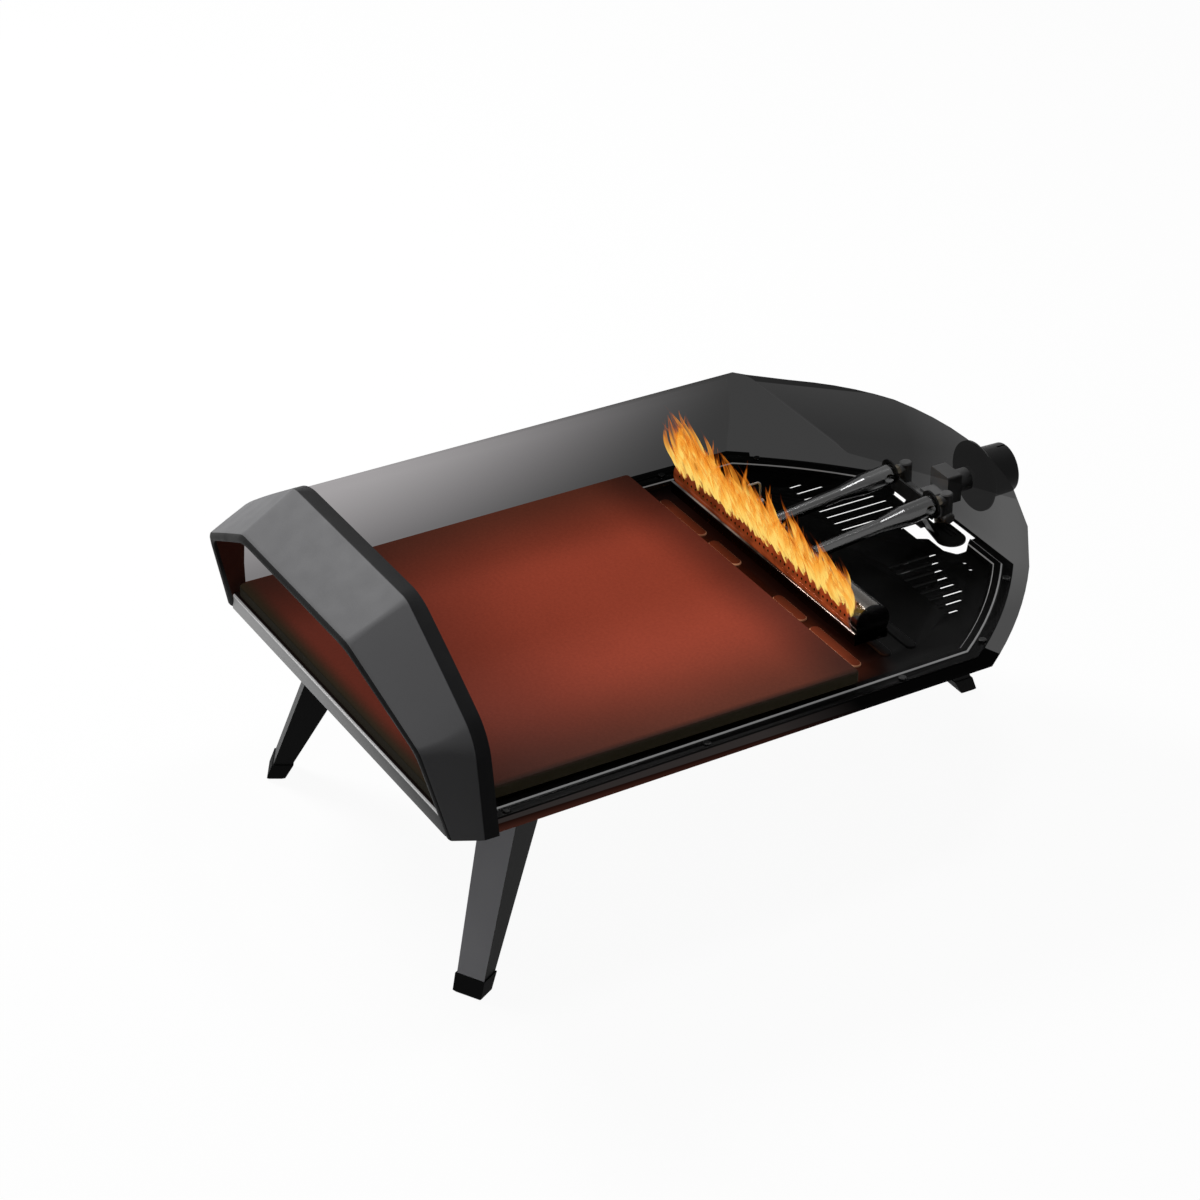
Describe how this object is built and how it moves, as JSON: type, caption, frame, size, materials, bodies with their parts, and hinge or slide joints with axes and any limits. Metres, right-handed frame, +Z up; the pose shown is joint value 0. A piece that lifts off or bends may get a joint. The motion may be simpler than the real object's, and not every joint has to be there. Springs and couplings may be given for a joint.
{
  "type": "portable gas pizza oven",
  "caption": "Portable gas pizza oven: insulated faceted shell with a flared mouth, baking stone, rear burner fed by venturis, rear dial and folding legs.",
  "frame": {"origin": "on the ground below the middle of the overall length and width", "axes": "+Z up, the mouth faces -Y, +Y towards the gas dial at the back, +X to the right seen from the mouth"},
  "size_m": [0.398, 0.615, 0.2915],
  "materials": {
    "shell_coat": "fine textured powder coat, dark grey",
    "black_coat": "satin black heat-proof paint",
    "leg_coat": "satin dark grey powder coat",
    "ceramic_fibre": "matt fibre blanket",
    "bare_steel": "satin stainless steel",
    "cordierite": "matt fired stone",
    "brass": "machined",
    "cast_alloy": "die-cast, matt",
    "white_ceramic": "glazed ceramic with a steel wire",
    "dial_plastic": "matt black heat-proof plastic",
    "foot_rubber": "matt moulded rubber"
  },
  "bodies": {
    "oven": {"outer_shell": "shell_coat", "insulation_blanket": "ceramic_fibre", "inner_liner": "bare_steel", "front_visor": "shell_coat", "front_sill": "bare_steel", "base_tray": "black_coat", "burner_tube": "bare_steel", "burner_cap_left": "bare_steel", "burner_cap_right": "bare_steel", "burner_channel": "bare_steel", "burner_bracket_left": "black_coat", "burner_bracket_right": "black_coat", "venturi_left": "bare_steel", "venturi_right": "bare_steel", "injector_left": "brass", "injector_right": "brass", "gas_manifold": "bare_steel", "manifold_bracket": "black_coat", "gas_valve": "cast_alloy", "gas_inlet": "brass", "igniter_electrode": "white_ceramic", "leg_hanger_front_left": "black_coat", "leg_hanger_front_right": "black_coat", "leg_hanger_rear": "black_coat", "leg_pin_front_left": "bare_steel", "leg_pin_front_right": "bare_steel", "leg_pin_rear": "bare_steel", "rim_screws": "bare_steel", "bracket_screws": "bare_steel"},
    "stone": {"pizza_stone": "cordierite"},
    "leg_front_right": {"leg_front_right": "leg_coat", "foot_cap_front_right": "foot_rubber"},
    "leg_front_left": {"leg_front_left": "leg_coat", "foot_cap_front_left": "foot_rubber"},
    "leg_rear": {"leg_rear": "leg_coat", "foot_cap_rear": "foot_rubber"},
    "plunger": {"valve_plunger": "brass"},
    "dial": {"valve_stem": "bare_steel", "gas_dial": "dial_plastic"}
  },
  "joints": [
    {"name": "stone_slide", "type": "slide", "parent": "oven", "child": "stone", "axis": [0, -1, 0], "range_m": [0, 0.15]},
    {"name": "leg_front_right_fold", "type": "hinge", "parent": "oven", "child": "leg_front_right", "pos_m": [0.1277, -0.19414, 0.141], "axis": [0.866, 0.5, 0], "range_deg": [0, 118]},
    {"name": "leg_front_left_fold", "type": "hinge", "parent": "oven", "child": "leg_front_left", "pos_m": [-0.1277, -0.19414, 0.141], "axis": [0.866, -0.5, 0], "range_deg": [0, 118]},
    {"name": "leg_rear_fold", "type": "hinge", "parent": "oven", "child": "leg_rear", "pos_m": [0, 0.2038, 0.141], "axis": [-1, 0, 0], "range_deg": [0, 118]},
    {"name": "dial_push", "type": "slide", "parent": "oven", "child": "plunger", "axis": [0, -1, 0], "range_m": [0, 0.003], "stiffness_N_per_m": 1500, "springref_m": -0.002},
    {"name": "dial_turn", "type": "hinge", "parent": "plunger", "child": "dial", "pos_m": [0, 0.29, 0.1935], "axis": [0, 1, 0], "range_deg": [0, 180]}
  ]
}
